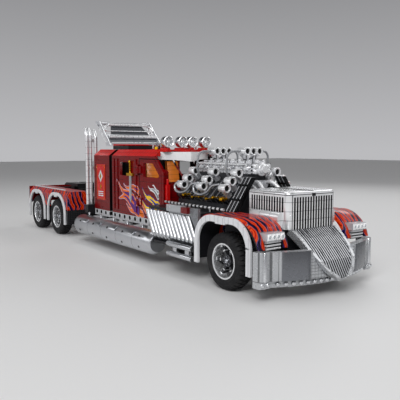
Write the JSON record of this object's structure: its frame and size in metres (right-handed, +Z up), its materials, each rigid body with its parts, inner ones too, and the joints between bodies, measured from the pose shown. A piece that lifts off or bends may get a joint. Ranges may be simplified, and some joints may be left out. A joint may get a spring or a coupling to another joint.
{
  "type": "hot-rod sleeper truck model",
  "caption": "Long brick-built sleeper truck model with an open engine, ribbed prow, side tanks and flame paint.",
  "frame": {"origin": "on the ground under the middle of the model's length and width", "axes": "+X forward, +Y to the left side, +Z up"},
  "size_m": [0.7322, 0.175, 0.1966],
  "materials": {
    "bright_red": "gloss",
    "chrome": "polished",
    "dark_grey": "satin",
    "dark_red": "gloss",
    "flame_red": "gloss",
    "hose_grey": "satin",
    "pale_grey": "gloss",
    "seat_orange": "satin",
    "silver": "metallic",
    "tyre": "matt"
  },
  "bodies": {
    "truck": {"bay_rails": "chrome", "bay_shelves": "dark_grey", "blower": "chrome", "bumper": "pale_grey", "cab_frame": "dark_red", "cab_interior": "seat_orange", "cab_sides": "dark_red", "coolers": "dark_grey", "cylinder_heads": "chrome", "deck_frames": "dark_grey", "engine_block": "dark_grey", "engine_hoses": "hose_grey", "exhaust_stacks": "chrome", "fifth_wheel": "dark_grey", "frame_rails": "dark_grey", "front_arches": "pale_grey", "front_axle": "dark_grey", "front_fenders": "flame_red", "gap_frame": "dark_grey", "headlights": "silver", "intake_horns": "chrome", "prow": "chrome", "prow_trims": "pale_grey", "pulleys": "silver", "radiator_shell": "chrome", "rear_arches": "pale_grey", "rear_axles": "dark_grey", "rear_deck": "flame_red", "roof": "bright_red", "roof_horns": "chrome", "roof_lamps": "chrome", "roof_wing": "chrome", "side_beams": "silver", "side_panels": "silver", "side_pipes": "chrome", "side_tanks": "chrome", "sleeper_rear": "dark_red", "step_frame": "dark_grey", "sword_ornaments": "silver", "tail_panel": "dark_red", "top_tubes": "chrome", "visor": "pale_grey", "wheel_wells": "dark_grey"},
    "wheel_front_right": {"tyre_front_right": "tyre", "rim_front_right": "chrome"},
    "wheel_front_left": {"tyre_front_left": "tyre", "rim_front_left": "chrome"},
    "wheel_rear_1_right": {"tyre_rear_1_right": "tyre", "rim_rear_1_right": "chrome"},
    "wheel_rear_1_left": {"tyre_rear_1_left": "tyre", "rim_rear_1_left": "chrome"},
    "wheel_rear_2_right": {"tyre_rear_2_right": "tyre", "rim_rear_2_right": "chrome"},
    "wheel_rear_2_left": {"tyre_rear_2_left": "tyre", "rim_rear_2_left": "chrome"},
    "knuckle_right": {"knuckle_right": "dark_grey"},
    "knuckle_left": {"knuckle_left": "dark_grey"},
    "door_right": {"door_right": "dark_red"},
    "door_left": {"door_left": "dark_red"}
  },
  "joints": [
    {"name": "wheel_front_right_spin", "type": "hinge", "parent": "knuckle_right", "child": "wheel_front_right", "pos_m": [0.26828, -0.071, 0.0312], "axis": [0, 1, 0], "continuous": true},
    {"name": "wheel_front_left_spin", "type": "hinge", "parent": "knuckle_left", "child": "wheel_front_left", "pos_m": [0.26828, 0.071, 0.0312], "axis": [0, 1, 0], "continuous": true},
    {"name": "wheel_rear_1_right_spin", "type": "hinge", "parent": "truck", "child": "wheel_rear_1_right", "pos_m": [-0.21522, -0.071, 0.0312], "axis": [0, 1, 0], "continuous": true},
    {"name": "wheel_rear_1_left_spin", "type": "hinge", "parent": "truck", "child": "wheel_rear_1_left", "pos_m": [-0.21522, 0.071, 0.0312], "axis": [0, 1, 0], "continuous": true},
    {"name": "wheel_rear_2_right_spin", "type": "hinge", "parent": "truck", "child": "wheel_rear_2_right", "pos_m": [-0.31392, -0.071, 0.0312], "axis": [0, 1, 0], "continuous": true},
    {"name": "wheel_rear_2_left_spin", "type": "hinge", "parent": "truck", "child": "wheel_rear_2_left", "pos_m": [-0.31392, 0.071, 0.0312], "axis": [0, 1, 0], "continuous": true},
    {"name": "steering_right", "type": "hinge", "parent": "truck", "child": "knuckle_right", "pos_m": [0.26828, -0.05, 0.0312], "axis": [0, 0, 1], "range_deg": [-18, 18]},
    {"name": "steering_left", "type": "hinge", "parent": "truck", "child": "knuckle_left", "pos_m": [0.26828, 0.05, 0.0312], "axis": [0, 0, 1], "range_deg": [-18, 18]},
    {"name": "door_right_hinge", "type": "hinge", "parent": "truck", "child": "door_right", "pos_m": [0.03948, -0.0564, 0.0985], "axis": [0, 0, -1], "range_deg": [0, 70]},
    {"name": "door_left_hinge", "type": "hinge", "parent": "truck", "child": "door_left", "pos_m": [0.03948, 0.0564, 0.0985], "axis": [0, 0, 1], "range_deg": [0, 70]}
  ],
  "couplings": [
    {"joint": "steering_left", "follows": "steering_right", "ratio": 1}
  ]
}
